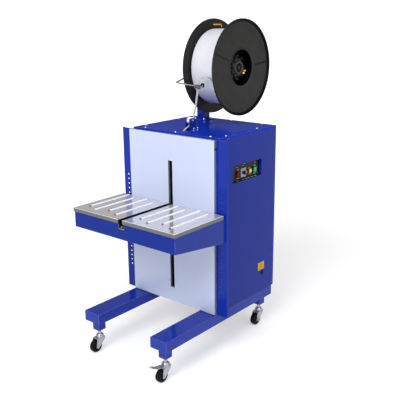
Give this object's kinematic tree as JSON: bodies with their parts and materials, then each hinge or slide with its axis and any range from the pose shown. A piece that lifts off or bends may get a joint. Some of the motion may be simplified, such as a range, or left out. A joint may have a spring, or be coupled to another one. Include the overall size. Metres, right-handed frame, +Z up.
{
  "type": "semi automatic strapping machine",
  "caption": "Cabinet on casters with a slotted steel front, a height-adjustable parcel table, recessed controls and a strap reel on top, for strapping parcels with plastic band.",
  "frame": {"origin": "on the floor under the middle of the machine's overall width and depth", "axes": "+X to the control panel's side, -Y to the front where the table stands out, +Z up"},
  "size_m": [0.68, 1.0914, 1.6317],
  "materials": {
    "blue_paint": "glossy blue powder coat",
    "zinc": "bright zinc plated pressed steel",
    "polished_steel": "polished stainless sheet",
    "front_steel": "fine satin stainless sheet",
    "machined_steel": "machined and galvanised steel",
    "blackened_steel": "blackened hardened steel",
    "cast_aluminium": "sand cast, matt",
    "wheel_rubber": "hard black rubber",
    "black_plastic": "black moulded plastic",
    "disc_plastic": "charcoal grained plastic",
    "white_nylon": "white nylon",
    "strap_white": "white embossed strapping band",
    "rocker_red": "translucent red plastic",
    "knob_black": "black plastic",
    "button_red": "red plastic",
    "button_yellow": "yellow plastic",
    "button_green": "green plastic",
    "lock_black": "dark lock barrel"
  },
  "bodies": {
    "cabinet": {"cable_gland": "black_plastic", "caster_socket_front_left": "blue_paint", "caster_socket_front_right": "blue_paint", "caster_socket_rear_left": "blue_paint", "caster_socket_rear_right": "blue_paint", "control_plate": "black_plastic", "control_pocket": "blue_paint", "drive_motor": "cast_aluminium", "electrical_box": "white_nylon", "floor_plate": "machined_steel", "foot_beam_left": "blue_paint", "foot_beam_right": "blue_paint", "front_plate_lower": "front_steel", "front_plate_upper": "front_steel", "header_rail": "blue_paint", "inlet_bracket": "blue_paint", "mechanism_frame": "machined_steel", "rear_panel": "blue_paint", "reel_post": "blue_paint", "reel_spindle": "machined_steel", "sealing_anvil": "blackened_steel", "selector_plate": "zinc", "side_panel_left": "blue_paint", "side_panel_right": "blue_paint", "strap_guide": "black_plastic", "strap_pool_box": "machined_steel", "strap_run": "strap_white", "top_cover": "blue_paint", "upright_left": "blue_paint", "upright_right": "blue_paint"},
    "table": {"table_frame": "blue_paint", "table_plate_left": "polished_steel", "table_plate_right": "polished_steel", "strap_channel": "black_plastic"},
    "reel": {"far_disc": "disc_plastic", "reel_core": "disc_plastic", "strap_coil": "strap_white"},
    "outer_disc": {"near_disc": "disc_plastic"},
    "nut": {"clamp_nut": "disc_plastic"},
    "arm": {"guide_arm": "machined_steel"},
    "inlet_wheel": {"inlet_roller": "white_nylon"},
    "pedal": {"brake_pedal": "zinc"},
    "rocker": {"power_rocker": "rocker_red"},
    "knob": {"selector_knob": "knob_black"},
    "red": {"button_red": "button_red"},
    "yellow": {"button_yellow": "button_yellow"},
    "green": {"button_green": "button_green"},
    "lock": {"panel_lock": "lock_black"},
    "cams": {"cam_shaft": "machined_steel"},
    "feed": {"feed_roller": "wheel_rubber"},
    "pinch": {"pinch_roller": "machined_steel"},
    "fork_front_left": {"caster_fork_front_left": "zinc"},
    "wheel_front_left": {"caster_wheel_front_left": "wheel_rubber"},
    "fork_front_right": {"caster_fork_front_right": "zinc"},
    "wheel_front_right": {"caster_wheel_front_right": "wheel_rubber"},
    "fork_rear_left": {"caster_fork_rear_left": "zinc"},
    "wheel_rear_left": {"caster_wheel_rear_left": "wheel_rubber"},
    "fork_rear_right": {"caster_fork_rear_right": "zinc"},
    "wheel_rear_right": {"caster_wheel_rear_right": "wheel_rubber"}
  },
  "joints": [
    {"name": "table_height", "type": "slide", "parent": "cabinet", "child": "table", "axis": [0, 0, 1], "range_m": [-0.275, 0.15]},
    {"name": "reel_spin", "type": "hinge", "parent": "cabinet", "child": "reel", "pos_m": [0, 0.30295, 1.389], "axis": [1, 0, 0], "continuous": true},
    {"name": "outer_disc_slide", "type": "slide", "parent": "reel", "child": "outer_disc", "axis": [1, 0, 0], "range_m": [0, 0.22]},
    {"name": "nut_turn", "type": "hinge", "parent": "outer_disc", "child": "nut", "pos_m": [0.0635, 0.30295, 1.389], "axis": [1, 0, 0], "continuous": true},
    {"name": "guide_arm_lift", "type": "hinge", "parent": "cabinet", "child": "arm", "pos_m": [-0.1152, 0.30295, 1.389], "axis": [1, 0, 0], "range_deg": [-30, 0]},
    {"name": "inlet_roller_spin", "type": "hinge", "parent": "cabinet", "child": "inlet_wheel", "pos_m": [0, 0.02545, 1.145], "axis": [1, 0, 0], "continuous": true},
    {"name": "caster_swivel_front_left", "type": "hinge", "parent": "cabinet", "child": "fork_front_left", "pos_m": [-0.228, -0.44165, 0.0735], "axis": [0, 0, 1], "continuous": true},
    {"name": "wheel_spin_front_left", "type": "hinge", "parent": "fork_front_left", "child": "wheel_front_left", "pos_m": [-0.228, -0.47115, 0.033], "axis": [1, 0, 0], "continuous": true},
    {"name": "caster_swivel_front_right", "type": "hinge", "parent": "cabinet", "child": "fork_front_right", "pos_m": [0.228, -0.44165, 0.0735], "axis": [0, 0, 1], "continuous": true},
    {"name": "wheel_spin_front_right", "type": "hinge", "parent": "fork_front_right", "child": "wheel_front_right", "pos_m": [0.228, -0.47115, 0.033], "axis": [1, 0, 0], "continuous": true},
    {"name": "caster_swivel_rear_left", "type": "hinge", "parent": "cabinet", "child": "fork_rear_left", "pos_m": [-0.228, 0.31695, 0.0735], "axis": [0, 0, 1], "continuous": true},
    {"name": "wheel_spin_rear_left", "type": "hinge", "parent": "fork_rear_left", "child": "wheel_rear_left", "pos_m": [-0.228, 0.28745, 0.033], "axis": [1, 0, 0], "continuous": true},
    {"name": "caster_swivel_rear_right", "type": "hinge", "parent": "cabinet", "child": "fork_rear_right", "pos_m": [0.228, 0.31695, 0.0735], "axis": [0, 0, 1], "continuous": true},
    {"name": "wheel_spin_rear_right", "type": "hinge", "parent": "fork_rear_right", "child": "wheel_rear_right", "pos_m": [0.228, 0.28745, 0.033], "axis": [1, 0, 0], "continuous": true},
    {"name": "brake_press", "type": "hinge", "parent": "fork_front_right", "child": "pedal", "pos_m": [0.228, -0.46815, 0.077], "axis": [1, 0, 0], "range_deg": [0, 10]},
    {"name": "rocker_press", "type": "hinge", "parent": "cabinet", "child": "rocker", "pos_m": [0.2596, 0.06995, 0.899], "axis": [0, 1, 0], "range_deg": [-16, 0]},
    {"name": "selector_turn", "type": "hinge", "parent": "cabinet", "child": "knob", "pos_m": [0.2624, 0.11445, 0.899], "axis": [1, 0, 0], "range_deg": [-45, 45]},
    {"name": "red_press", "type": "slide", "parent": "cabinet", "child": "red", "axis": [1, 0, 0], "range_m": [-0.004, 0], "stiffness_N_per_m": 300, "springref_m": 0.001},
    {"name": "yellow_press", "type": "slide", "parent": "cabinet", "child": "yellow", "axis": [1, 0, 0], "range_m": [-0.004, 0], "stiffness_N_per_m": 300, "springref_m": 0.001},
    {"name": "green_press", "type": "slide", "parent": "cabinet", "child": "green", "axis": [1, 0, 0], "range_m": [-0.004, 0], "stiffness_N_per_m": 300, "springref_m": 0.001},
    {"name": "lock_turn", "type": "hinge", "parent": "cabinet", "child": "lock", "pos_m": [0.279, 0.26895, 0.324], "axis": [1, 0, 0], "range_deg": [0, 90]},
    {"name": "cam_turn", "type": "hinge", "parent": "cabinet", "child": "cams", "pos_m": [0, 0.15295, 0.705], "axis": [1, 0, 0], "continuous": true},
    {"name": "feed_turn", "type": "hinge", "parent": "cabinet", "child": "feed", "pos_m": [0, -0.06975, 0.93], "axis": [1, 0, 0], "continuous": true},
    {"name": "pinch_turn", "type": "hinge", "parent": "cabinet", "child": "pinch", "pos_m": [0, -0.03035, 0.93], "axis": [1, 0, 0], "continuous": true}
  ],
  "couplings": [
    {"joint": "pinch_turn", "follows": "feed_turn", "ratio": -1.1111}
  ]
}
